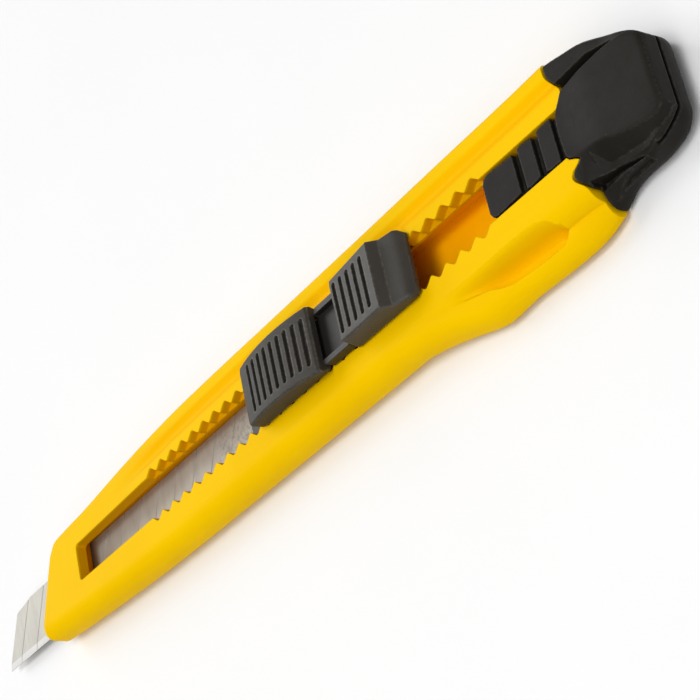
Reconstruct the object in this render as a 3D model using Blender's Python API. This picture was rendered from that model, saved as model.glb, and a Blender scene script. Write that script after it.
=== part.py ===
"""Snap-off utility knife: a slotted handle with toothed rails, a blade on a sliding carrier, and an end cap.

The knife lies on its flat back. The origin is on the back face, below the slot's centre line. +X points to the
blade's tip, +Y to its cutting edge and +Z out of the slotted face. Sizes below are in millimetres.
"""
import math

import bmesh
import bpy

MM = 0.001
GAP = 0.3                      # clearance between pieces that lie face to face

# Blade
BLADE_WIDTH = 9.0
BLADE_THICKNESS = 0.4
BLADE_LENGTH = 86.0
BLADE_OUT = 21.5               # how far the tip stands past the handle's nose, on the centre line
FIRST_SCORE = 3.8              # slanted front end to the first score
SCORE_PITCH = 5.4
SCORE_COUNT = 12
SCORE_LEAN = math.tan(math.radians(30.0))
SCORE_DEPTH = 0.1
BEVEL_WIDTH = 1.0
PEG_RADIUS = 1.1
PEG_CLEARANCE = 0.25
PEG_FROM_REAR = 3.5            # blade's rear end to the middle of its hole

# Handle
HANDLE_REAR = -57.9            # where the handle meets the end cap
HANDLE_NOSE = 71.6             # on the centre line; the nose leans like the blade's scores
NOSE_LEAN = 0.51
HANDLE_HEIGHT = 6.0
# Plan of the housing: (x, distance from the centre line), from the nose to the end cap
SPINE_PLAN = ((74.0, 6.4), (70.0, 6.55), (65.0, 6.78), (60.0, 7.0), (55.0, 7.35), (50.0, 7.78), (45.0, 8.25),
              (40.0, 8.67), (30.0, 9.25), (20.0, 9.46), (0.0, 9.5), (-20.0, 9.55), (-33.0, 9.65), (-51.0, 9.72),
              (-58.0, 9.88))
EDGE_PLAN = ((78.0, 6.9), (74.0, 7.1), (69.0, 7.45), (63.0, 7.92), (58.6, 8.25), (53.0, 8.6), (48.9, 8.83),
             (44.0, 9.02), (39.5, 9.15), (30.0, 9.3), (20.0, 9.37), (0.0, 9.48), (-20.0, 9.55))
SHOULDER_RADIUS = 2.8
BACK_RADIUS = 2.6
SPINE_RADIUS = 0.8
NOSE_RADIUS = 1.4
NOSE_SPINE_CORNER = 2.6        # plan rounding of the nose's spine corner, then of its edge corner
NOSE_EDGE_CORNER = 0.8
GROOVE_WIDTH = 2.6             # shallow groove between the spine rim and the toothed rail
GROOVE_DEPTH = 0.5
RIM_WIDTH = 1.9

# Slot, rails and channel
FLOOR = 1.2
LIP = 1.8                      # thickness of the rails over the channel
SIDE_PLAY = 0.25               # blade's edge to the channel's side
SLOT_HALF = 3.15
SLOT_FRONT = 60.3
SLOT_NARROWING = 0.45
CHANNEL_FRONT = 62.5
TOOTH_PITCH = 3.0
TOOTH_DEPTH = 0.93
TOOTH_COUNT = 27
FIRST_TOOTH = 36.6             # the valley nearest the nose
NOTCH_DEPTH = 1.35

# Finger flange: (x, distance from the centre line), from where it leaves the housing to the end cap
FLANGE_PLAN = ((-14.0, 8.7), (-18.0, 9.2), (-22.5, 9.75), (-27.0, 10.4), (-31.0, 11.25), (-35.0, 12.3),
               (-37.5, 12.75), (-40.0, 12.5), (-43.0, 12.35), (-49.0, 12.5), (-53.5, 12.4), (-56.0, 12.0),
               (-57.5, 11.5), (-61.0, 10.0))
FLANGE_HEIGHT = ((-18.0, 5.9), (-24.0, 5.9), (-31.0, 5.6), (-36.0, 4.9), (-42.0, 4.1), (-61.0, 3.9))
FLANGE_BOTTOM = 0.4
FLANGE_ROUND = ((-18.0, 2.75), (-30.0, 2.7), (-40.0, 2.0), (-50.0, 2.3), (-57.0, 3.3), (-61.0, 3.4))
FLANGE_BACK_ROUND = 1.3
POCKET_PLAN = ((-32.5, 8.5), (-36.0, 8.9), (-38.5, 9.3), (-40.2, 10.0), (-42.0, 10.5), (-48.0, 10.75),
               (-51.0, 10.7), (-52.0, 10.2), (-52.5, 9.4))
POCKET_INNER = ((-32.5, 7.1), (-48.0, 7.0), (-50.5, 7.3), (-51.7, 7.9), (-52.5, 8.7))
POCKET_FLOOR = ((-32.5, 5.9), (-36.0, 4.6), (-39.5, 2.9), (-42.0, 2.3), (-52.5, 2.2))

# Carrier and pads
SLIDER_PRONG_TOOTH = 16        # the tooth valley that holds the slider at rest
NECK_FRONT = 9.2
NECK_REAR = -14.4
SHOE_PAST_PEG = 2.7            # peg to the front of the carrier's shoe
PLATE_HALF = 3.2
PLATE_THICKNESS = 0.8
BRIDGE_HALF = 4.1
ARM_REAR = -24.8
THUMB_FRONT = 8.4
THUMB_REAR = -9.1
THUMB_HEIGHT = 3.65            # top of the front pad's crown over the rails
THUMB_CROWN_X = -0.7
THUMB_FALL = 1.1               # crown to the pad's ends
THUMB_FRONT_HALF = 4.4
THUMB_REAR_HALF = 4.85
LOCK_FRONT = -15.5
LOCK_REAR = -28.9
LOCK_HEIGHT = 4.0
LOCK_RISE = 0.55               # front edge to the ridge
LOCK_RIDGE = -24.8
LOCK_VALLEY = -25.7
LOCK_STEP_HEIGHT = 2.6
LOCK_TAIL_HEIGHT = 1.8
LOCK_TRAVEL = 1.0
LOCK_FRONT_HALF = 4.45
LOCK_REAR_HALF = 4.9
LOCK_KEY = (-20.8, -19.2)      # stud under the rear pad, which runs in a slot of the carrier's arm
LOCK_KEY_HALF = 1.0
PAD_BASE_HALF = 4.25
RIB_DEPTH = 0.6
RIB_WIDTH = 0.78
THUMB_RIBS = 9
THUMB_RIB_PITCH = 1.57
THUMB_RIB_START = 3.7          # pad's front end to the first groove
THUMB_RIB_HALF = 3.45
LOCK_RIBS = 5
LOCK_RIB_PITCH = 1.6
LOCK_RIB_START = 1.2
LOCK_RIB_HALF = 3.6
PRONG_THICKNESS = 0.35

# End cap
CAP_REAR = -72.9
# Plans of the cap: its two sides, then the two sides of its raised face
CAP_SPINE_PLAN = ((-53.0, 9.75), (-57.0, 9.65), (-60.3, 9.1), (-63.4, 8.45), (-66.4, 7.1), (-69.0, 5.55),
                  (-71.2, 4.3), (-72.3, 3.45), (-72.9, 2.7))
CAP_EDGE_PLAN = ((-53.0, 12.1), (-57.0, 11.6), (-58.4, 10.7), (-60.5, 9.6), (-62.8, 9.05), (-65.4, 8.9),
                 (-67.8, 8.8), (-69.6, 8.4), (-71.2, 7.7), (-72.2, 7.1), (-72.9, 6.5))
FACE_SPINE_PLAN = ((-53.0, 4.6), (-59.0, 4.6), (-64.0, 4.8), (-68.0, 4.8), (-70.5, 4.3), (-72.0, 3.5), (-72.9, 2.7))
FACE_EDGE_PLAN = ((-53.0, 4.0), (-60.5, 4.45), (-63.0, 5.0), (-66.0, 5.8), (-69.0, 6.6), (-71.6, 6.9), (-72.9, 6.1))
CAP_PLATEAU = 6.75
CAP_GROOVE_WIDTH = 1.6         # groove between the spine wing and the raised face
CAP_WING_TOP = 3.9
CAP_BACK_ROUND = 3.5           # rounding between the cap's rear end and the knife's back
CAP_TOP_ROUND = 0.5
SLIT_BOTTOM = 4.0
SLIT_HEIGHT = 0.5
SLIT_FRONT = -68.6
# Two tapered grooves in the cap's cutting-edge flank, as plan outlines with the height of each floor
FLANK_GROOVES = ((((-58.9, 8.35), (-58.9, 7.3), (-62.4, 7.45), (-65.6, 8.1), (-66.2, 8.35), (-62.6, 8.2)), 3.0),
                 (((-59.6, 10.5), (-59.6, 9.7), (-62.8, 8.65), (-66.3, 8.4), (-66.5, 9.0), (-62.9, 9.3)), 2.6))
TONGUE_FRONT = -43.1
TONGUE_STEPS = (-49.4, -53.0, -56.6)
TONGUE_GROOVE = 1.1
PLUG_FRONT = -46.0

CHANNEL_TOP = HANDLE_HEIGHT - LIP
CHANNEL_HALF = BLADE_WIDTH / 2 + SIDE_PLAY
BLADE_BOTTOM = FLOOR + 0.2
BLADE_TOP = BLADE_BOTTOM + BLADE_THICKNESS
BLADE_TIP = HANDLE_NOSE + BLADE_OUT
BLADE_REAR = BLADE_TIP - BLADE_LENGTH
PEG_X = BLADE_REAR + PEG_FROM_REAR
SHOE_FRONT = PEG_X + SHOE_PAST_PEG
PRONG_X = FIRST_TOOTH - SLIDER_PRONG_TOOTH * TOOTH_PITCH
LAST_TOOTH = FIRST_TOOTH - (TOOTH_COUNT - 1) * TOOTH_PITCH
NECK_HALF = SLOT_HALF - SLOT_NARROWING - 0.1   # the neck still clears the slot where it narrows
SHOE_HALF = CHANNEL_HALF - GAP
PLATE_BOTTOM = HANDLE_HEIGHT + GAP
PLATE_TOP = PLATE_BOTTOM + PLATE_THICKNESS
PAD_BOTTOM = HANDLE_HEIGHT + 0.4


def ease(start, end, x):
    """0 before start, 1 after end, and a smooth S between; start may be above end."""
    t = min(1.0, max(0.0, (x - start) / (end - start)))
    return t * t * (3 - 2 * t)


def mix(a, b, t):
    return a + (b - a) * t


def flow(knots, x):
    """A smooth curve through (x, value) knots, which are given from front to rear; level beyond both ends."""
    if x >= knots[0][0]:
        return knots[0][1]
    for i in range(len(knots) - 1):
        (x0, v0), (x1, v1) = knots[i], knots[i + 1]
        if x >= x1:
            before = knots[max(i - 1, 0)]
            after = knots[min(i + 2, len(knots) - 1)]
            slope0 = (v1 - before[1]) / (x1 - before[0])
            slope1 = (after[1] - v0) / (after[0] - x0)
            t = (x - x0) / (x1 - x0)
            span = x1 - x0
            ends = (2 * t ** 3 - 3 * t ** 2 + 1) * v0 + (3 * t ** 2 - 2 * t ** 3) * v1
            return ends + span * ((t ** 3 - 2 * t ** 2 + t) * slope0 + (t ** 3 - t ** 2) * slope1)
    return knots[-1][1]


def arc(cy, cz, radius, first, last, steps):
    """Points of an arc in the YZ plane, angles in degrees from +Y towards +Z."""
    angles = [math.radians(mix(first, last, i / steps)) for i in range(steps + 1)]
    return [(cy + radius * math.cos(a), cz + radius * math.sin(a)) for a in angles]


def material(name, colour, roughness, metallic=0.0):
    made = bpy.data.materials.new(name)
    made.use_nodes = True
    shader = made.node_tree.nodes["Principled BSDF"]
    shader.inputs["Base Color"].default_value = (*colour, 1.0)
    shader.inputs["Roughness"].default_value = roughness
    shader.inputs["Metallic"].default_value = metallic
    return made


def mesh_object(name, points, faces, made=None, cutter=False):
    """An object from points in millimetres. Its faces are turned outwards."""
    mesh = bpy.data.meshes.new(name)
    mesh.from_pydata([tuple(c * MM for c in p) for p in points], [], faces)
    shape = bmesh.new()
    shape.from_mesh(mesh)
    if shape.calc_volume(signed=True) < 0:
        bmesh.ops.reverse_faces(shape, faces=shape.faces)
    shape.to_mesh(mesh)
    shape.free()
    obj = bpy.data.objects.new(name, mesh)
    bpy.context.scene.collection.objects.link(obj)
    if made:
        mesh.materials.append(made)
    if cutter:
        obj.hide_render = True
        obj.display_type = "WIRE"
    return obj


def loft(name, rings, made=None, cutter=False):
    """A closed body through rings of equal length, each a list of (x, y, z)."""
    count = len(rings[0])
    points = [p for ring in rings for p in ring]
    faces = []
    for r in range(len(rings) - 1):
        for i in range(count):
            j = (i + 1) % count
            faces.append((r * count + i, r * count + j, (r + 1) * count + j, (r + 1) * count + i))
    faces.append(tuple(reversed(range(count))))
    faces.append(tuple((len(rings) - 1) * count + i for i in range(count)))
    return mesh_object(name, points, faces, made, cutter)


def prism(name, outline, bottom, top, made=None, cutter=False):
    """A plan outline of (x, y) points, from the bottom height to the top height."""
    return loft(name, [[(x, y, z) for x, y in outline] for z in (bottom, top)], made, cutter)


def box(name, x, y, z, made=None, cutter=False):
    """A box from three (low, high) pairs."""
    return prism(name, [(x[0], y[0]), (x[1], y[0]), (x[1], y[1]), (x[0], y[1])], z[0], z[1], made, cutter)


def rounded_outline(x, half, radius, steps=3):
    """A rectangle in plan, symmetric about the centre line, with round corners."""
    corners = ((x[1], half, 0), (x[0], half, 90), (x[0], -half, 180), (x[1], -half, 270))
    points = []
    for cx, cy, start in corners:
        inward_x = cx - math.copysign(radius, cx - (x[0] + x[1]) / 2)
        inward_y = cy - math.copysign(radius, cy)
        points += arc(inward_x, inward_y, radius, start, start + 90, steps)
    return points


def boolean(obj, other, operation="DIFFERENCE"):
    modifier = obj.modifiers.new(operation.title() + "_" + other.name, "BOOLEAN")
    modifier.operation = operation
    modifier.solver = "EXACT"
    modifier.object = other
    return modifier


def join(obj, other):
    smooth(other)
    other.hide_render = True
    other.display_type = "WIRE"
    boolean(obj, other, "UNION")


def smooth(obj, angle=35.0):
    obj.data.shade_smooth()
    obj.data.set_sharp_from_angle(angle=math.radians(angle))
    return obj


def joint_line(y):
    """X of the seam between handle and end cap: the handle's end bulges into the cap beside the slot."""
    spine_bulge = 1.9 * math.exp(-(((y + 4.8) / 1.8) ** 2))
    edge_bulge = 1.8 * math.exp(-(((y - 4.4) / 0.65) ** 2))
    return HANDLE_REAR + 0.9 - spine_bulge - edge_bulge - 1.5 * ease(5.9, 8.2, y)


def seam_outline(offset, far):
    """The seam moved by offset along X, closed at X = far."""
    ys = [-15] + [-10 + i * 0.4 for i in range(51)] + [15]
    return [(joint_line(y) + offset, y) for y in ys] + [(far, ys[-1]), (far, ys[0])]


def handle_ring(x, inset):
    """One section of the housing. Inset draws it in all round, for the rounded nose."""
    lean = NOSE_LEAN * ease(46, HANDLE_NOSE, x)
    low = inset
    top = HANDLE_HEIGHT - inset
    spine = -flow(SPINE_PLAN, x) + inset
    edge = flow(EDGE_PLAN, x) - inset
    groove_depth = GROOVE_DEPTH * ease(47, 34, x)
    groove = spine + RIM_WIDTH
    rim = max(SPINE_RADIUS - inset, 0.2)
    shoulder = SHOULDER_RADIUS - inset
    back = BACK_RADIUS - inset
    section = arc(spine + rim, low + rim, rim, 270, 180, 3)
    section += arc(spine + rim, top - rim, rim, 180, 90, 4)
    for i in range(9):
        t = i / 8
        dip = 0.5 - 0.5 * math.cos(2 * math.pi * t)
        section.append((groove + GROOVE_WIDTH * t, top - groove_depth * dip))
    section.append((0.0, top))
    section += arc(edge - shoulder, top - shoulder, shoulder, 90, 0, 8)
    section += arc(edge - back, low + back, back, 0, -90, 6)
    near = ease(HANDLE_NOSE - 7, HANDLE_NOSE - NOSE_RADIUS, x)
    points = []
    for y, z in section:
        back_by = setback(y - spine, NOSE_SPINE_CORNER) + setback(edge - y, NOSE_EDGE_CORNER)
        points.append((x + lean * y - near * back_by, y, z))
    return points


def setback(distance, radius):
    """How far a round plan corner falls back from the nose line, at a distance in from the side."""
    reach = max(0.0, radius - distance)
    return radius - math.sqrt(radius * radius - reach * reach)


def handle_stations():
    """X of each section with its inset: even steps, then the rounded nose."""
    start = HANDLE_REAR - 3
    nose = HANDLE_NOSE - NOSE_RADIUS
    steps = 26
    stations = [(mix(start, nose - 0.3, i / steps), 0.0) for i in range(steps + 1)]
    for i in range(6):
        a = math.radians(90 * i / 6)
        stations.append((nose + NOSE_RADIUS * math.sin(a), NOSE_RADIUS * (1 - math.cos(a))))
    return stations


def flange_ring(x):
    """Section of the finger flange: flat below, and rounded over from its top to its outer side."""
    side = flow(FLANGE_PLAN, x)
    top = flow(FLANGE_HEIGHT, x)
    in_from_side = flow(FLANGE_ROUND, x)
    inner = SLOT_HALF + 1.5
    back = FLANGE_BACK_ROUND + 1.2 * ease(-36, -20, x)
    drop = top - FLANGE_BOTTOM - back - 0.1
    section = [(inner, FLANGE_BOTTOM), (inner, top)]
    for i in range(9):
        a = math.radians(mix(88, 0, i / 8))
        section.append((side - in_from_side * (1 - math.cos(a)), top - drop * (1 - math.sin(a))))
    section += arc(side - back, FLANGE_BOTTOM + back, back, 0, -90, 4)
    return [(x, y, z) for y, z in section]


def notch_outline():
    """Sawtooth outline of both rails in plan: valleys and crests along one side, back along the other."""
    low = SLOT_HALF - 0.1
    valley = SLOT_HALF + TOOTH_DEPTH
    side = [(LAST_TOOTH - TOOTH_PITCH / 2, low)]
    for i in range(TOOTH_COUNT):
        x = LAST_TOOTH + i * TOOTH_PITCH
        side += [(x - 0.2, valley), (x + 0.2, valley), (x + TOOTH_PITCH / 2, low)]
    return side + [(x, -y) for x, y in reversed(side)]


def build_pocket():
    """Cutter for the flange's pocket: it ramps down from a pointed front to a level floor and a round rear."""
    rings = []
    for front, rear in zip(POCKET_PLAN, POCKET_PLAN[1:]):
        for t in (0.0, 0.5):
            x = mix(front[0], rear[0], t)
            rings.append(pocket_ring(x, mix(front[1], rear[1], t)))
    rings.append(pocket_ring(*POCKET_PLAN[-1]))
    return smooth(loft("pocket_cutter", rings, cutter=True))


def pocket_ring(x, outer):
    """Section of the pocket: its inner wall curves down from the shoulder, its outer wall is nearly upright."""
    floor = flow(POCKET_FLOOR, x)
    inner = flow(POCKET_INNER, x)
    top = HANDLE_HEIGHT + 1.4
    foot = min(inner + 1.8, outer - 0.3)
    section = [(inner - 0.5, top)]
    for i in range(9):
        t = i / 8
        section.append((mix(inner, foot, t), mix(HANDLE_HEIGHT - 0.05, floor, 0.5 - 0.5 * math.cos(math.pi * t))))
    section += [(outer - 0.12, floor), (outer, floor + 0.35), (outer + 0.1, top)]
    return [(x, y, z) for y, z in section]


def build_handle(yellow):
    handle = loft("handle_body", [handle_ring(x, inset) for x, inset in handle_stations()], yellow)
    flange_steps = 26
    rear = HANDLE_REAR - 2
    flange = loft("flange_shape", [
        flange_ring(mix(rear, FLANGE_PLAN[0][0], i / flange_steps)) for i in range(flange_steps + 1)])
    join(handle, flange)
    past = HANDLE_REAR - 10
    cutters = [
        box("channel_cutter", (past, CHANNEL_FRONT), (-CHANNEL_HALF, CHANNEL_HALF), (FLOOR, CHANNEL_TOP), cutter=True),
        box("blade_exit_cutter", (CHANNEL_FRONT - 2, BLADE_TIP), (-CHANNEL_HALF + 0.05, CHANNEL_HALF - 0.05),
            (FLOOR + 0.02, BLADE_TOP + GAP), cutter=True),
        prism("slot_cutter", slot_outline(past), CHANNEL_TOP - 0.5, HANDLE_HEIGHT + 1, cutter=True),
        prism("notch_cutter", notch_outline(), HANDLE_HEIGHT - NOTCH_DEPTH, HANDLE_HEIGHT + 1.2, cutter=True),
        build_pocket(),
        prism("rear_cutter", seam_outline(0.0, HANDLE_REAR - 12), -1.0, HANDLE_HEIGHT + 2, cutter=True),
    ]
    for cutter in cutters:
        boolean(handle, cutter)
    return smooth(handle)


def slot_outline(past):
    """Plan of the slot, narrowing a little on the spine side towards its small-cornered front end."""
    radius = 0.6
    narrow = SLOT_HALF - SLOT_NARROWING
    front = arc(SLOT_FRONT - radius, SLOT_HALF - radius, radius, 90, 0, 3)
    spine = [(x, -y) for x, y in reversed(arc(SLOT_FRONT - radius, narrow - radius, radius, 90, 0, 3))]
    return [(past, SLOT_HALF)] + front + spine + [(FIRST_TOOTH + TOOTH_PITCH, -SLOT_HALF), (past, -SLOT_HALF)]


def blade_ring(x):
    """Blade section: a flat bar with a two-sided bevel to the cutting edge."""
    half = BLADE_WIDTH / 2
    mid = (BLADE_BOTTOM + BLADE_TOP) / 2
    return [(x, -half, BLADE_BOTTOM), (x, half - BEVEL_WIDTH, BLADE_BOTTOM), (x, half, mid - 0.04),
            (x, half, mid + 0.04), (x, half - BEVEL_WIDTH, BLADE_TOP), (x, -half, BLADE_TOP)]


def lean_shear(points, amount):
    """Slides points along X in proportion to Y, so that a square end becomes the blade's slanted one."""
    return [(x + amount * (y - BLADE_WIDTH / 2), y, z) for x, y, z in points]


def build_blade(steel):
    front = lean_shear(blade_ring(BLADE_TIP), SCORE_LEAN)
    blade = loft("snap_blade", [blade_ring(BLADE_REAR), front], steel)
    half = BLADE_WIDTH / 2
    corner = [(BLADE_TIP - 11.5, -half - 0.5), (BLADE_TIP - 2.5, -half - 0.5), (BLADE_TIP - 2.5, -half + 1.6),
              (BLADE_TIP - SCORE_LEAN * BLADE_WIDTH - 0.1, -half + 0.75),
              (BLADE_TIP - SCORE_LEAN * BLADE_WIDTH - 2.9, -half + 0.35),
              (BLADE_TIP - 10.5, -half - 0.2)]
    boolean(blade, prism("blade_corner_cutter", corner, -1, 4, cutter=True))
    first = BLADE_TIP - SCORE_LEAN * half - FIRST_SCORE
    for i in range(SCORE_COUNT):
        x = first - i * SCORE_PITCH
        boolean(blade, score_cutter("score_cutter_%02d" % i, x))
    hole = [(PEG_X + (PEG_RADIUS + PEG_CLEARANCE) * math.cos(a), (PEG_RADIUS + PEG_CLEARANCE) * math.sin(a))
            for a in (math.radians(15 * i) for i in range(24))]
    boolean(blade, prism("hole_cutter", hole, -1, 4, cutter=True))
    return smooth(blade, 20)


def score_cutter(name, x):
    """A V-shaped scoring tool lying across the blade at the scores' lean."""
    reach = BLADE_WIDTH / 2 + 1
    rings = []
    for y in (-reach, reach):
        cx = x + SCORE_LEAN * y
        rings.append([(cx - 0.14, y, BLADE_TOP + 0.03), (cx + 0.14, y, BLADE_TOP + 0.03),
                      (cx, y, BLADE_TOP - SCORE_DEPTH)])
    return loft(name, rings, cutter=True)


def build_carrier(black):
    shoe = prism("blade_carrier", rounded_outline((NECK_REAR, SHOE_FRONT), SHOE_HALF, 1.0),
                 BLADE_TOP + GAP, CHANNEL_TOP - GAP, black)
    neck = prism("neck_shape", rounded_outline((NECK_REAR, NECK_FRONT), NECK_HALF, 0.6),
                 BLADE_TOP + GAP + 0.4, PLATE_TOP - 0.2)
    plate = prism("plate_shape", rounded_outline((ARM_REAR, NECK_FRONT - 2), PLATE_HALF, 0.8),
                  PLATE_BOTTOM, PLATE_TOP)
    gap_front = THUMB_REAR - GAP
    gap_rear = LOCK_FRONT + GAP
    bridge = prism("bridge_shape", rounded_outline((gap_rear, gap_front), BRIDGE_HALF, 0.5),
                   PLATE_BOTTOM, PLATE_TOP + 0.6)
    peg = prism("peg_shape", [(PEG_X + PEG_RADIUS * math.cos(a), PEG_RADIUS * math.sin(a))
                              for a in (math.radians(22.5 * i) for i in range(16))],
                BLADE_BOTTOM + 0.05, BLADE_TOP + GAP + 0.5)
    for piece in [neck, plate, bridge, peg]:
        join(shoe, piece)
    key_way = (LOCK_KEY[0] - LOCK_TRAVEL - GAP, LOCK_KEY[1] + GAP)
    boolean(shoe, box("key_way_cutter", key_way, (-LOCK_KEY_HALF - GAP, LOCK_KEY_HALF + GAP),
                      (PLATE_BOTTOM - 1, PLATE_TOP + 1), cutter=True))
    boolean(shoe, box("bridge_trough", (gap_rear - 1, gap_front + 1), (-BRIDGE_HALF + 0.8, BRIDGE_HALF - 0.8),
                      (PLATE_TOP - 0.4, PLATE_TOP + 2), cutter=True))
    pocket_low = CHANNEL_TOP + 0.4
    pocket_high = PLATE_BOTTOM - 0.6
    boolean(shoe, box("prong_cutter", (PRONG_X - 1.1, PRONG_X + 1.1), (-6, 6), (pocket_low, pocket_high), cutter=True))
    boolean(shoe, box("leaf_cutter", (PRONG_X - 1.0, NECK_FRONT - 1.5), (-1.9, 1.9),
                      (pocket_low + 0.05, pocket_high - 0.05), cutter=True))
    boolean(shoe, box("leaf_way_cutter", (NECK_FRONT - 1.8, SHOE_FRONT + 2), (-1.9, 1.9),
                      (pocket_low + 0.1, pocket_high - 0.1), cutter=True))
    return smooth(shoe)


def build_spring(steel):
    """A bowed leaf along the neck, with a cross bar whose pointed ends sit in the rail teeth."""
    low = CHANNEL_TOP + 0.4 + GAP
    high = low + PRONG_THICKNESS
    reach = SLOT_HALF + TOOTH_DEPTH - GAP
    cross = [(PRONG_X - 0.75, -NECK_HALF), (PRONG_X - 0.15, -reach), (PRONG_X + 0.15, -reach),
             (PRONG_X + 0.75, -NECK_HALF), (PRONG_X + 0.75, NECK_HALF), (PRONG_X + 0.15, reach),
             (PRONG_X - 0.15, reach), (PRONG_X - 0.75, NECK_HALF)]
    spring = prism("detent_spring", cross, low, high, steel)
    length = NECK_FRONT - 2.1 - PRONG_X
    bow = 0.32
    rings = []
    for i in range(9):
        t = i / 8
        rise = bow * math.sin(math.pi * t)
        x = PRONG_X + length * t
        rings.append([(x, -1.5, low + 0.02 + rise), (x, 1.5, low + 0.02 + rise),
                      (x, 1.5, high - 0.02 + rise), (x, -1.5, high - 0.02 + rise)])
    join(spring, loft("leaf_shape", rings))
    return smooth(spring)


def pad_ring(x, height, base_half, top_half):
    """Section of a pad: sides that lean out a little, and round top corners."""
    top = HANDLE_HEIGHT + height
    radius = 0.45
    section = [(-base_half, PAD_BOTTOM)]
    section += arc(-top_half + radius, top - radius, radius, 180, 90, 3)
    section += arc(top_half - radius, top - radius, radius, 90, 0, 3)
    section.append((base_half, PAD_BOTTOM))
    return [(x, y, z) for y, z in section]


def thumb_height(x):
    """Top of the front pad over the rails: a long arch, lower at the rear end than at the front."""
    return THUMB_HEIGHT - THUMB_FALL * ((x - THUMB_CROWN_X) / (THUMB_REAR - THUMB_CROWN_X)) ** 2


def thumb_rings():
    """The front pad: arched, wider to the rear, with a rounded front end."""
    front = THUMB_FRONT
    stations = [THUMB_REAR, THUMB_REAR + 0.12, THUMB_REAR + 0.35]
    stations += [mix(THUMB_REAR + 0.35, front - 1.4, i / 11) for i in range(1, 12)]
    stations += [front - 0.9, front - 0.5, front - 0.2, front]
    rings = []
    for x in stations:
        t = (x - THUMB_REAR) / (front - THUMB_REAR)
        nose = ease(front - 1.6, front, x) ** 1.5
        heel = ease(THUMB_REAR + 0.36, THUMB_REAR, x)
        height = thumb_height(x) - 0.55 * nose - 0.25 * heel
        half = mix(THUMB_REAR_HALF, THUMB_FRONT_HALF, t) - 0.9 * nose - 0.1 * heel
        rings.append(pad_ring(x, height, PAD_BASE_HALF - 0.7 * nose, half))
    return rings


def lock_height(x):
    """Top of the rear pad: a slow rise to the ridge, a step down behind it and a falling tail."""
    if x >= LOCK_RIDGE:
        return mix(LOCK_HEIGHT, LOCK_HEIGHT - LOCK_RISE, (x - LOCK_RIDGE) / (LOCK_FRONT - LOCK_RIDGE))
    if x >= LOCK_VALLEY:
        return mix(LOCK_STEP_HEIGHT, LOCK_HEIGHT, (x - LOCK_VALLEY) / (LOCK_RIDGE - LOCK_VALLEY))
    return mix(LOCK_TAIL_HEIGHT, LOCK_STEP_HEIGHT, (x - LOCK_REAR) / (LOCK_VALLEY - LOCK_REAR))


def lock_rings():
    rear = LOCK_REAR
    stations = [rear, rear + 0.1, rear + 0.3, rear + 0.6, rear + 1.0, rear + 1.5, LOCK_VALLEY, LOCK_RIDGE]
    stations += [mix(LOCK_RIDGE, LOCK_FRONT - 0.5, i / 6) for i in range(1, 7)] + [LOCK_FRONT - 0.15, LOCK_FRONT]
    rings = []
    for x in stations:
        tail = ease(rear + 1.1, rear - 0.25, x) ** 1.5
        nose = 0.3 * ease(LOCK_FRONT - 0.4, LOCK_FRONT, x)
        height = lock_height(x) - 1.0 * tail - nose
        half = mix(LOCK_REAR_HALF, LOCK_FRONT_HALF, (x - rear) / (LOCK_FRONT - rear))
        rings.append(pad_ring(x, height, PAD_BASE_HALF + 0.35 - 0.5 * tail, half - 0.9 * tail - nose))
    return rings


def cut_ribs(pad, first, pitch, count, half, top_of):
    """Cross grooves: each cutter is a round bar's worth of material, laid just into the pad's top."""
    for i in range(count):
        x = first - i * pitch
        surface = HANDLE_HEIGHT + top_of(x)
        outline = rounded_outline((x - RIB_WIDTH / 2, x + RIB_WIDTH / 2), half, RIB_WIDTH * 0.45, 3)
        boolean(pad, prism("%s_rib_cutter_%d" % (pad.name, i), outline, surface - RIB_DEPTH, surface + 1.5, cutter=True))


def hollow_pad(pad, x, top):
    """The pad's underside, open downwards, with room for the carrier's plate."""
    cavity = rounded_outline(x, PLATE_HALF + GAP, 0.6)
    boolean(pad, prism(pad.name + "_cavity", cavity, PAD_BOTTOM - 2, top, cutter=True))


def build_thumb_pad(black):
    pad = loft("thumb_pad", thumb_rings(), black)
    hollow_pad(pad, (THUMB_REAR - 3, NECK_FRONT - 2 + GAP), PLATE_TOP + GAP)
    boolean(pad, box("thumb_neck_way", (NECK_REAR, NECK_FRONT + GAP), (-NECK_HALF - GAP, NECK_HALF + GAP),
                     (PAD_BOTTOM - 1, PLATE_TOP), cutter=True))
    cut_ribs(pad, THUMB_FRONT - THUMB_RIB_START, THUMB_RIB_PITCH, THUMB_RIBS, THUMB_RIB_HALF, thumb_height)
    return smooth(pad)


def build_lock_pad(black):
    pad = loft("lock_pad", lock_rings(), black)
    hollow_pad(pad, (ARM_REAR - GAP, LOCK_FRONT + 3), PLATE_TOP + GAP)
    join(pad, box("key_shape", LOCK_KEY, (-LOCK_KEY_HALF, LOCK_KEY_HALF), (PLATE_BOTTOM + 0.15, PLATE_TOP + GAP + 0.5)))
    cut_ribs(pad, LOCK_FRONT - LOCK_RIB_START, LOCK_RIB_PITCH, LOCK_RIBS, LOCK_RIB_HALF, lock_height)
    return smooth(pad)


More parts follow.
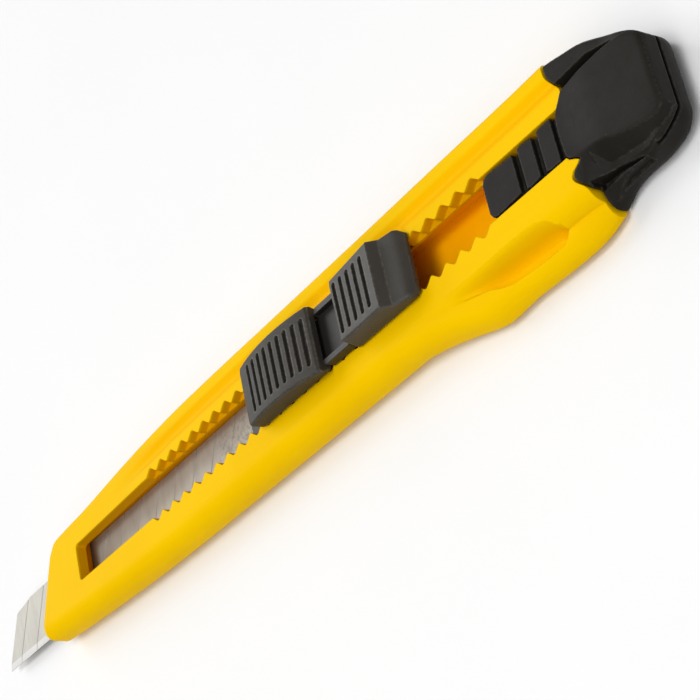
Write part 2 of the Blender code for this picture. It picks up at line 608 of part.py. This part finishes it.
def cap_ring(x, low, top_in):
    """Section of the cap: spine wing, groove, raised face, slope and cutting-edge wing, flush with the handle in front.

    Low is the height of its underside and top_in how far its raised face is drawn down, both for the rounded rear.
    """
    spine = -flow(CAP_SPINE_PLAN, x)
    edge = flow(CAP_EDGE_PLAN, x)
    face_spine = -flow(FACE_SPINE_PLAN, x)
    face_edge = flow(FACE_EDGE_PLAN, x)
    plateau = mix(HANDLE_HEIGHT + 0.3, CAP_PLATEAU, ease(HANDLE_REAR, HANDLE_REAR - 6, x)) - top_in
    wing = mix(HANDLE_HEIGHT - 0.05, plateau - 0.2, ease(HANDLE_REAR - 9, CAP_REAR + 3, x))
    recess = 1.4 * ease(HANDLE_REAR - 10, HANDLE_REAR - 8, x) * ease(HANDLE_REAR + 2, HANDLE_REAR - 0.6, x)
    room = face_spine - spine
    side = min(SPINE_RADIUS, 0.3 * room)
    under = min(1.2, 0.45 * (wing - low))
    section = arc(spine + under, low + under, under, 270, 180, 4)
    section += arc(spine + side, wing - side, side, 180, 90, 3)
    groove = max(face_spine - CAP_GROOVE_WIDTH, mix(spine + side, face_spine, 0.4))
    section.append((mix(spine + side, groove, 0.6), wing))
    section.append((groove, wing))
    section.append((mix(groove, face_spine, 0.2), wing - recess))
    section.append((mix(groove, face_spine, 0.78), wing - recess))
    section.append((face_spine, plateau - 0.15))
    section.append((face_spine + 0.45, plateau))
    for i in range(1, 5):
        t = i / 5
        section.append((mix(face_spine + 0.45, face_edge - 0.5, t), plateau + 0.15 * math.sin(math.pi * t)))
    section.append((face_edge - 0.5, plateau))
    section.append((face_edge, plateau - 0.25))
    width = edge - face_edge
    flank = mix(CAP_WING_TOP, SLIT_BOTTOM + SLIT_HEIGHT + 0.5, ease(CAP_REAR + 6.5, CAP_REAR + 3, x))
    shoulder = min(1.1, 0.35 * width)
    flush = ease(HANDLE_REAR - 4.5, HANDLE_REAR - 0.5, x)
    section.append((face_edge + 0.4 * width, mix(flank + 0.35 * shoulder, HANDLE_HEIGHT - 0.2, flush)))
    section.append((face_edge + 0.62 * width, mix(flank + 0.25 * shoulder, HANDLE_HEIGHT - 0.9, flush)))
    back = mix(min(2.3, 0.5 * (flank - low)), FLANGE_BACK_ROUND, flush)
    run = mix(shoulder, flow(FLANGE_ROUND, x), flush)
    drop = mix(shoulder, flow(FLANGE_HEIGHT, x) - FLANGE_BOTTOM - FLANGE_BACK_ROUND - 0.1, flush)
    for i in range(6):
        a = math.radians(mix(80, 0, i / 5))
        section.append((edge - run * (1 - math.cos(a)), flank - drop * (1 - math.sin(a))))
    section += arc(edge - back, low + back, back, 0, -90, 5)
    return [(x, y, z) for y, z in section]


def cap_stations():
    """(x, underside, draw-down) of each section: even steps, then the rear end's two roundings."""
    start = HANDLE_REAR + 4
    rear = CAP_REAR + CAP_BACK_ROUND
    stations = [(mix(start, rear, i / 14), 0.0, 0.0) for i in range(14)]
    for i in range(7):
        a = math.radians(90 * i / 6)
        from_rear = CAP_BACK_ROUND * (1 - math.sin(a))
        low = CAP_BACK_ROUND * (1 - math.cos(a))
        near = max(0.0, 1 - from_rear / CAP_TOP_ROUND)
        stations.append((CAP_REAR + from_rear, low, CAP_TOP_ROUND * (1 - math.sqrt(1 - near * near))))
    return stations


def build_cap(black):
    cap = loft("end_cap", [cap_ring(*station) for station in cap_stations()], black)
    boolean(cap, prism("cap_front_cutter", seam_outline(-GAP, HANDLE_REAR + 12), -2.0, 12.0, cutter=True))
    into_cap = HANDLE_REAR - 4
    tongue = prism("tongue_shape", tongue_outline(into_cap), CHANNEL_TOP - GAP - 0.4, HANDLE_HEIGHT - 0.1)
    plug = prism("plug_shape", rounded_outline((into_cap, PLUG_FRONT), SHOE_HALF, 0.8),
                 FLOOR + GAP, CHANNEL_TOP - GAP)
    join(cap, tongue)
    join(cap, plug)
    for i, x in enumerate(TONGUE_STEPS):
        boolean(cap, box("tongue_groove_%d" % i, (x - TONGUE_GROOVE / 2, x + TONGUE_GROOVE / 2), (-4, 4),
                         (HANDLE_HEIGHT - 0.8, HANDLE_HEIGHT + 0.4), cutter=True))
    for i, (outline, bottom) in enumerate(FLANK_GROOVES):
        boolean(cap, prism("flank_groove_cutter_%d" % i, outline, bottom, HANDLE_HEIGHT + 3, cutter=True))
    boolean(cap, box("snap_slit_cutter", (CAP_REAR - 2, SLIT_FRONT), (-15, 15),
                     (SLIT_BOTTOM, SLIT_BOTTOM + SLIT_HEIGHT), cutter=True))
    return smooth(cap)


def tongue_outline(rear):
    """Plan of the tongue in the slot: three links, each with a rounded front corner."""
    half = SLOT_HALF - GAP
    points = [(rear, half)]
    fronts = [TONGUE_STEPS[1], TONGUE_STEPS[0], TONGUE_FRONT]
    for x in fronts:
        points += [(x - 1.2, half), (x - 0.35, half - 0.25), (x, half - 0.9)]
        if x != TONGUE_FRONT:
            points.append((x + 0.05, half - 0.3))
    return points + [(x, -y) for x, y in reversed(points)]


def main():
    for obj in list(bpy.data.objects):
        bpy.data.objects.remove(obj)
    yellow = material("yellow_abs", (0.95, 0.62, 0.0), 0.38)
    black = material("black_abs", (0.018, 0.018, 0.019), 0.45)
    blade_steel = material("blade_steel", (0.62, 0.61, 0.59), 0.3, 1.0)
    spring_steel = material("spring_steel", (0.5, 0.5, 0.52), 0.35, 1.0)
    build_handle(yellow)
    build_blade(blade_steel)
    build_carrier(black)
    build_spring(spring_steel)
    build_thumb_pad(black)
    build_lock_pad(black)
    build_cap(black)


main()
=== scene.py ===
"""Looks of a snap-off utility knife: moulded handle, scored blade, thumb slider, rear lock pad and end cap.

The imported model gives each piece's shape. A skin is made over each node from its own surface, with shared
corners and soft creases, and the finishes are procedural: moulded yellow and black plastic, ground and etched
blade steel, and bright spring steel.
"""

import math

import bmesh
import bpy
from mathutils import Matrix, Vector


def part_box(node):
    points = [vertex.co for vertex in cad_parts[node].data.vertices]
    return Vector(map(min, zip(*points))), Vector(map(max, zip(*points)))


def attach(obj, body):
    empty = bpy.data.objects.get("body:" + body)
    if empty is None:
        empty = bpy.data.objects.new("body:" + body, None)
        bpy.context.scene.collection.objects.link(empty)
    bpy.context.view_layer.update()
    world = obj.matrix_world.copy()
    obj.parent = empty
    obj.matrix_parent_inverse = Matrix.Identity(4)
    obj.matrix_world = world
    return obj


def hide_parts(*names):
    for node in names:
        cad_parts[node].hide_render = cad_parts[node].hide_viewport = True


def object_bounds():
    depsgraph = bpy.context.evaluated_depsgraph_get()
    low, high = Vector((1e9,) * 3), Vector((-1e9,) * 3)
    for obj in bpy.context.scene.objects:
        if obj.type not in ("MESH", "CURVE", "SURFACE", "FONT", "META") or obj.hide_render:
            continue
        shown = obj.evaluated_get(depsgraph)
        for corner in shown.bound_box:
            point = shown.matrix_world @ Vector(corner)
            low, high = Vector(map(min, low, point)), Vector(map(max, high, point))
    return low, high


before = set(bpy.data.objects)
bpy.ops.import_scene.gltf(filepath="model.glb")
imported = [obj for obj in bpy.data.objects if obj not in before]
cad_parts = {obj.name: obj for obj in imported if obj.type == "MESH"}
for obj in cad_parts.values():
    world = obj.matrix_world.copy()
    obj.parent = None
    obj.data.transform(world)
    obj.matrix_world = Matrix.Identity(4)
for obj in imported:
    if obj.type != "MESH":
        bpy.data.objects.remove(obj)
CAD_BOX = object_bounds()
MM = 0.001

# Knife, in millimetres: X runs towards the blade's tip, Y towards its cutting edge, Z up from the floor
BLADE_TIP, BLADE_HALF = (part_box("snap_blade")[1][axis] / MM for axis in (0, 1))
BEVEL_WIDTH = 1.0
FIRST_SCORE = 3.8               # slanted front end to the first score
SCORE_PITCH = 5.4
SCORE_LEAN = math.tan(math.radians(30.0))
FIRST_SCORE_X = BLADE_TIP - SCORE_LEAN * BLADE_HALF - FIRST_SCORE    # where it crosses the middle line

# Skins: how close corners are merged, the shortest edge kept, and the pull of large faces (50 is neutral)
WELD = 0.002 * MM
SHORTEST_EDGE = 0.001 * MM
LARGE_FACE_WEIGHT = 60

# Room, in metres: the floor, the world's strength, and each lamp's name, place, width and power in watts
FLOOR_HALF = 3.0
FLOOR_DROP = 0.02 * MM
ROOM_STRENGTH = 0.28
LAMPS = (
    ("soft_box", (0.74, -0.42, 0.54), 0.8, 5.6),
    ("overhead", (-0.2, 0.12, 0.9), 0.4, 3.4),
    ("fill", (-0.25, 0.5, 0.6), 0.6, 1.9),
)

# Camera, in millimetres and degrees: above and behind the knife on its cutting-edge side, rolled so that the
# blade points down and to the left
CAMERA_PLACE = (-192.56, 121.92, 156.73)
CAMERA_AIM = (-11.809, 2.774, 5.0)
CAMERA_ROLL = -82.01
CAMERA_LENS = 107.15
CAMERA_NEAR = 5.0

# A colour Mix node's sockets: factor, the two colours and the result
MIX_FACTOR, MIX_FIRST, MIX_SECOND, MIX_RESULT = 0, 6, 7, 2


# ---------------------------------------------------------------- shader maths

class Val:
    """A socket that takes part in Python arithmetic; each operation adds one Math node."""

    def __init__(self, shader, socket):
        self.shader = shader
        self.socket = socket

    def __add__(self, other):
        return self.shader.math("ADD", self, other)

    __radd__ = __add__

    def __sub__(self, other):
        return self.shader.math("SUBTRACT", self, other)

    def __rsub__(self, other):
        return self.shader.math("SUBTRACT", other, self)

    def __mul__(self, other):
        return self.shader.math("MULTIPLY", self, other)

    __rmul__ = __mul__

    def __truediv__(self, other):
        return self.shader.math("DIVIDE", self, other)

    def __abs__(self):
        return self.shader.math("ABSOLUTE", self)

    def step(self, low, high):
        """Smooth rise from 0 at low to 1 at high, or a fall where low is the larger."""
        return self.shader.node("ShaderNodeMapRange", {"interpolation_type": "SMOOTHSTEP"},
                                {"Value": self, "From Min": low, "From Max": high})

    def band(self, start, full, still, end):
        """Smooth rise from 0 at start to 1 at full, then a smooth fall from 1 at still to 0 at end."""
        return self.step(start, full) * self.step(end, still)


class Shader:
    """One material with a Principled surface, and short ways to add its nodes."""

    def __init__(self, name):
        self.material = bpy.data.materials.new(name)
        self.material.use_nodes = True
        self.tree = self.material.node_tree
        self.surface = next(n for n in self.tree.nodes if n.type == "BSDF_PRINCIPLED")

    def put(self, socket, value):
        """A value goes into a socket as a link if it is a Val, or else as its constant."""
        if isinstance(value, Val):
            self.tree.links.new(value.socket, socket)
        elif socket.type == "RGBA":
            socket.default_value = (*value, 1.0)
        else:
            socket.default_value = value

    def node(self, kind, settings, inputs, output=0):
        """Adds a node, applies its settings, then fills its sockets by name or number."""
        made = self.tree.nodes.new(kind)
        for key, value in settings.items():
            setattr(made, key, value)
        for key, value in inputs.items():
            self.put(made.inputs[key], value)
        return Val(self, made.outputs[output])

    def math(self, operation, *values):
        return self.node("ShaderNodeMath", {"operation": operation}, dict(enumerate(values)))

    def place(self):
        """Object coordinates in millimetres."""
        at = self.node("ShaderNodeTexCoord", {}, {}, "Object")
        return self.node("ShaderNodeVectorMath", {"operation": "SCALE"}, {0: at, "Scale": 1 / MM})

    def axes(self, vector):
        """The vector's X, Y and Z."""
        return [self.node("ShaderNodeSeparateXYZ", {}, {0: vector}, axis) for axis in "XYZ"]

    def stretch(self, vector, scale, turn=0.0):
        """The place turned about Z, then scaled along each axis."""
        return self.node("ShaderNodeMapping", {},
                         {"Vector": vector, "Rotation": (0.0, 0.0, turn), "Scale": scale})

    def noise(self, vector, scale, detail=3.0, roughness=0.55):
        return self.node("ShaderNodeTexNoise", {},
                         {"Vector": vector, "Scale": scale, "Detail": detail, "Roughness": roughness}, "Fac")

    def cells(self, vector, scale):
        """Distance to the middle of the nearest of many random cells."""
        return self.node("ShaderNodeTexVoronoi", {}, {"Vector": vector, "Scale": scale}, "Distance")

    def mix(self, factor, first, second):
        """Colour between two colours."""
        return self.node("ShaderNodeMix", {"data_type": "RGBA"},
                         {MIX_FACTOR: factor, MIX_FIRST: first, MIX_SECOND: second}, MIX_RESULT)

    def bump(self, height, strength, depth, normal):
        """Shading direction tilted by a height map, with the depth of its unit in millimetres."""
        return self.node("ShaderNodeBump", {},
                         {"Height": height, "Strength": strength, "Distance": depth * MM, "Normal": normal})

    def edge(self, radius, samples=6):
        """Shading direction with corners rounded to a radius in millimetres."""
        return self.node("ShaderNodeBevel", {"samples": samples}, {"Radius": radius * MM})

    def corner_turn(self, radius):
        """0 on flats, rising to 1 where a corner turns within the radius."""
        hard = self.node("ShaderNodeNewGeometry", {}, {}, "Normal")
        dot = self.node("ShaderNodeVectorMath", {"operation": "DOT_PRODUCT"},
                        {0: self.edge(radius), 1: hard}, "Value")
        return 1.0 - dot

    def finish(self, **sockets):
        """Fills the surface's sockets, whose names are given with _ for each space."""
        for name, value in sockets.items():
            self.put(self.surface.inputs[name.replace("_", " ")], value)
        return self.material


# ---------------------------------------------------------------- finishes

def yellow_plastic():
    """Moulded ABS with little shine: slow colour drift, flow lines along the handle, pits and fine scratches.

    The spine groove and the channel are painted a deeper orange as painted shade and bounced light, and the
    slot's walls are painted darker as painted shade.
    """
    s = Shader("yellow_moulded_plastic")
    p = s.place()
    x, y, z = s.axes(p)
    drift = s.noise(p, scale=0.05, detail=2.0)
    flow_lines = s.noise(s.stretch(p, (0.05, 0.9, 0.9)), scale=1.0, detail=4.0, roughness=0.6)
    colour = s.mix(drift.step(0.35, 0.65), (0.9, 0.535, 0.0), (0.93, 0.565, 0.0))
    colour = s.mix(flow_lines.step(0.52, 0.8) * 0.25, colour, (0.89, 0.5, 0.0))
    # Painted shade: the spine groove is coloured a deeper orange where shade and bounced light fall in it.
    groove_painted_shade = y.band(-7.9, -7.0, -5.8, -4.7) * z.step(5.2, 5.6) * x.step(48.0, 34.0)
    colour = s.mix(groove_painted_shade * 0.7, colour, (0.95, 0.47, 0.0))
    near_slot = abs(y).step(5.6, 4.6)
    # Painted shade: the slot's walls below the rail tops are coloured a darker brown, as shade falls under
    # the rails.
    slot_wall_painted_shade = z.step(6.0, 5.5) * near_slot
    colour = s.mix(slot_wall_painted_shade, colour, (0.74, 0.36, 0.0))
    # Painted bounced light: the channel inside the slot is coloured a stronger orange, standing in for light
    # bounced between the yellow walls.
    channel = z.step(4.5, 4.0) * near_slot
    colour = s.mix(channel, colour, (1.0, 0.45, 0.0))
    rubbed = s.noise(p, scale=0.35, detail=5.0, roughness=0.7)
    scratches = s.noise(s.stretch(p, (0.18, 5.0, 5.0), turn=0.25), scale=1.0, detail=2.0, roughness=0.6)
    scratches = scratches.step(0.68, 0.74)
    pits = s.noise(p, scale=9.0, detail=2.0)
    ripple = s.noise(p, scale=1.3, detail=2.0)
    height = pits * 0.5 + ripple * 1.6 - scratches * 0.25
    return s.finish(Base_Color=colour, Roughness=0.3 + rubbed * 0.14 + scratches * 0.12, IOR=1.5,
                    Specular_IOR_Level=0.01, Normal=s.bump(height, 0.12, 0.03, s.edge(0.22)))


def black_plastic(name, tone, grain_size, grain_depth, gloss, sheen):
    """Black ABS with a spark-eroded grain, corners painted paler as a painted edge highlight, dust and a few
    fine scratches.

    The tone is the base colour's green, the grain's size is in cells to the millimetre and its depth in
    millimetres, the gloss is the least roughness and the sheen the specular level.
    """
    s = Shader(name)
    p = s.place()
    base, blotch_colour, pale = (tuple(tone * share for share in shares)
                                 for shares in ((1.15, 1.0, 0.78), (1.45, 1.4, 1.25), (4.5, 4.2, 3.6)))
    blotches = s.noise(p, scale=0.3, detail=3.0, roughness=0.6).step(0.3, 0.75)
    colour = s.mix(blotches * 0.5, base, blotch_colour)
    # Painted highlight: corners are coloured paler, broken up by a noise, as light lines along the edges; the
    # same corners are also a little less rough.
    corner = s.corner_turn(0.45).step(0.004, 0.06)
    highlight_breakup = s.noise(p, scale=2.2, detail=4.0, roughness=0.7).step(0.35, 0.7)
    colour = s.mix(corner * highlight_breakup * 0.8, colour, pale)
    dust = s.noise(p, scale=3.2, detail=2.0).step(0.72, 0.78)
    colour = s.mix(dust * 0.25, colour, (0.12, 0.115, 0.1))
    rubbed = s.noise(p, scale=0.8, detail=4.0, roughness=0.7)
    scratches = s.noise(s.stretch(p, (3.0, 0.2, 3.0), turn=0.5), scale=1.0, detail=2.0, roughness=0.6)
    scratches = scratches.step(0.7, 0.75)
    grain = s.cells(p, grain_size) * 0.7 + s.noise(p, scale=grain_size * 1.7, detail=2.0) * 0.6
    normal = s.bump(grain - scratches * 0.3, 0.35, grain_depth, s.edge(0.2))
    return s.finish(Base_Color=colour, Roughness=gloss + rubbed * 0.14 + scratches * 0.15 - corner * 0.08,
                    IOR=1.5, Specular_IOR_Level=sheen, Normal=normal)


def blade_steel():
    """Ground strip steel: fine cross-grinding, a cutting bevel painted bright as a painted highlight, dark
    scores, stains and an etched patch.

    The scores are lines at one pitch along the blade, leaning towards its tip on the cutting-edge side.
    """
    s = Shader("ground_blade_steel")
    p = s.place()
    x, y, _ = s.axes(p)
    grinding = s.noise(s.stretch(p, (7.0, 0.35, 1.0)), scale=1.0, detail=3.0, roughness=0.65)
    streaks = s.noise(s.stretch(p, (0.5, 0.12, 1.0)), scale=1.0, detail=3.0, roughness=0.6)
    colour = s.mix(streaks.step(0.3, 0.7), (0.4, 0.38, 0.33), (0.47, 0.45, 0.39))
    bevel_line = BLADE_HALF - BEVEL_WIDTH
    # Painted highlight: the cutting bevel is coloured brighter where it catches the light; it is also a
    # little less rough.
    bevel = y.step(bevel_line - 0.1, bevel_line + 0.1)
    colour = s.mix(bevel, colour, (0.55, 0.54, 0.52))
    pitches_along = (x - y * SCORE_LEAN - FIRST_SCORE_X) / SCORE_PITCH
    score = s.math("PINGPONG", pitches_along, 0.5).step(0.04, 0.015)
    colour = s.mix(score * 0.45, colour, (0.2, 0.19, 0.18))
    patch = x.band(13.0, 16.0, 23.5, 26.5) * y.band(-3.9, -3.3, 2.6, 3.6)
    frost = s.noise(p, scale=1.5, detail=5.0, roughness=0.75).step(0.46, 0.6) * patch
    colour = s.mix(frost * 0.6, colour, (0.25, 0.24, 0.22))
    stains = s.noise(p, scale=0.22, detail=4.0, roughness=0.6).step(0.55, 0.8)
    colour = s.mix(stains * 0.3, colour, (0.38, 0.35, 0.3))
    height = grinding + s.noise(p, scale=3.0, detail=5.0, roughness=0.8) * frost * 5.0
    return s.finish(Base_Color=colour, Roughness=0.32 + grinding * 0.12 + frost * 0.25 - bevel * 0.06,
                    Metallic=0.08, Specular_IOR_Level=0.35, Normal=s.bump(height, 0.3, 0.02, s.edge(0.04, 4)))


def spring_steel():
    """Bright rolled strip with lengthwise lines and a slight straw tint."""
    s = Shader("rolled_spring_steel")
    p = s.place()
    lines = s.noise(s.stretch(p, (0.3, 8.0, 8.0)), scale=1.0, detail=3.0, roughness=0.6)
    straw = s.noise(p, scale=0.4, detail=2.0).step(0.3, 0.7)
    return s.finish(Base_Color=s.mix(straw, (0.5, 0.49, 0.47), (0.6, 0.58, 0.53)), Metallic=1.0,
                    Roughness=0.24 + lines * 0.14, Normal=s.bump(lines, 0.25, 0.02, s.edge(0.05, 4)))


def pale_paper():
    """Matt floor paper with a slow, faint mottle."""
    s = Shader("pale_paper")
    mottle = s.noise(s.place(), scale=0.02, detail=2.0)
    return s.finish(Base_Color=s.mix(mottle, (0.9, 0.9, 0.9), (0.93, 0.93, 0.93)), Roughness=0.9)


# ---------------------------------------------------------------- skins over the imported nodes

def linked(name, data):
    """A new object in the scene."""
    obj = bpy.data.objects.new(name, data)
    bpy.context.scene.collection.objects.link(obj)
    return obj


def skin(name, node, body, material, crease):
    """A node's own surface with its corners merged, shaded smooth up to the crease angle in degrees."""
    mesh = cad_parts[node].data.copy()
    mesh.name = name
    made = bmesh.new()
    made.from_mesh(mesh)
    bmesh.ops.remove_doubles(made, verts=made.verts, dist=WELD)
    bmesh.ops.dissolve_degenerate(made, edges=made.edges, dist=SHORTEST_EDGE)
    for face in made.faces:
        face.smooth = True
    for edge in made.edges:
        edge.smooth = len(edge.link_faces) == 2 and edge.calc_face_angle(0.0) < math.radians(crease)
    made.to_mesh(mesh)
    made.free()
    flat_normals = mesh.attributes.get("custom_normal")
    if flat_normals:
        mesh.attributes.remove(flat_normals)
    mesh.materials.clear()
    mesh.materials.append(material)
    obj = linked(name, mesh)
    weighted = obj.modifiers.new("flat_faces_stay_flat", "WEIGHTED_NORMAL")
    weighted.keep_sharp = True
    weighted.weight = LARGE_FACE_WEIGHT
    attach(obj, body)
    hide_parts(node)


def skins():
    """One skin for each node, in the finish that it is made in."""
    carrier_black = black_plastic("black_carrier_plastic", tone=0.01, grain_size=6.0, grain_depth=0.02,
                                  gloss=0.4, sheen=0.4)
    thumb_pad_black = black_plastic("black_thumb_pad_plastic", tone=0.036, grain_size=4.5, grain_depth=0.035,
                                    gloss=0.46, sheen=0.2)
    lock_pad_black = black_plastic("black_lock_pad_plastic", tone=0.034, grain_size=4.5, grain_depth=0.035,
                                   gloss=0.46, sheen=0.4)
    cap_black = black_plastic("black_cap_plastic", tone=0.012, grain_size=3.5, grain_depth=0.03,
                              gloss=0.44, sheen=0.08)
    skin("handle_skin", "handle_body", "handle", yellow_plastic(), 32.0)
    skin("blade_skin", "snap_blade", "slider", blade_steel(), 12.0)
    skin("carrier_skin", "blade_carrier", "slider", carrier_black, 35.0)
    skin("thumb_pad_skin", "thumb_pad", "slider", thumb_pad_black, 28.0)
    skin("lock_pad_skin", "lock_pad", "lock", lock_pad_black, 28.0)
    skin("spring_skin", "detent_spring", "slider", spring_steel(), 35.0)
    skin("end_cap_skin", "end_cap", "cap", cap_black, 30.0)


# ---------------------------------------------------------------- floor, room, lamps and camera

def looking(place, aim, roll=0.0):
    """The matrix of a lamp or camera at a place, pointed at an aim and rolled about its view in degrees."""
    turn = (place - aim).to_track_quat("Z", "Y").to_matrix().to_4x4()
    return Matrix.Translation(place) @ turn @ Matrix.Rotation(math.radians(roll), 4, "Z")


def floor():
    """Pale paper, a hair below the knife."""
    low = CAD_BOX[0][2] - FLOOR_DROP
    mesh = bpy.data.meshes.new("floor")
    mesh.from_pydata([(x * FLOOR_HALF, y * FLOOR_HALF, low) for x, y in ((-1, -1), (1, -1), (1, 1), (-1, 1))],
                     [], [(0, 1, 2, 3)])
    mesh.materials.append(pale_paper())
    linked("floor", mesh)


def room():
    """An even white room and three soft lamps, each pointed at the knife's middle."""
    world = bpy.data.worlds.new("room")
    bpy.context.scene.world = world
    world.use_nodes = True
    walls = world.node_tree.nodes["Background"]
    walls.inputs["Color"].default_value = (1.0, 1.0, 1.0, 1.0)
    walls.inputs["Strength"].default_value = ROOM_STRENGTH
    for name, place, width, power in LAMPS:
        lamp = bpy.data.lights.new(name, "AREA")
        lamp.shape = "SQUARE"
        lamp.size = width
        lamp.energy = power
        linked(name, lamp).matrix_world = looking(Vector(place), Vector())


def camera():
    """Fixed long-lens view from the rear, cutting-edge side and above."""
    view = bpy.data.cameras.new("camera")
    view.lens = CAMERA_LENS
    view.clip_start = CAMERA_NEAR * MM
    obj = linked("camera", view)
    obj.matrix_world = looking(Vector(CAMERA_PLACE) * MM, Vector(CAMERA_AIM) * MM, CAMERA_ROLL)
    bpy.context.scene.camera = obj


skins()
floor()
room()
camera()
bpy.context.scene.view_settings.view_transform = "Standard"
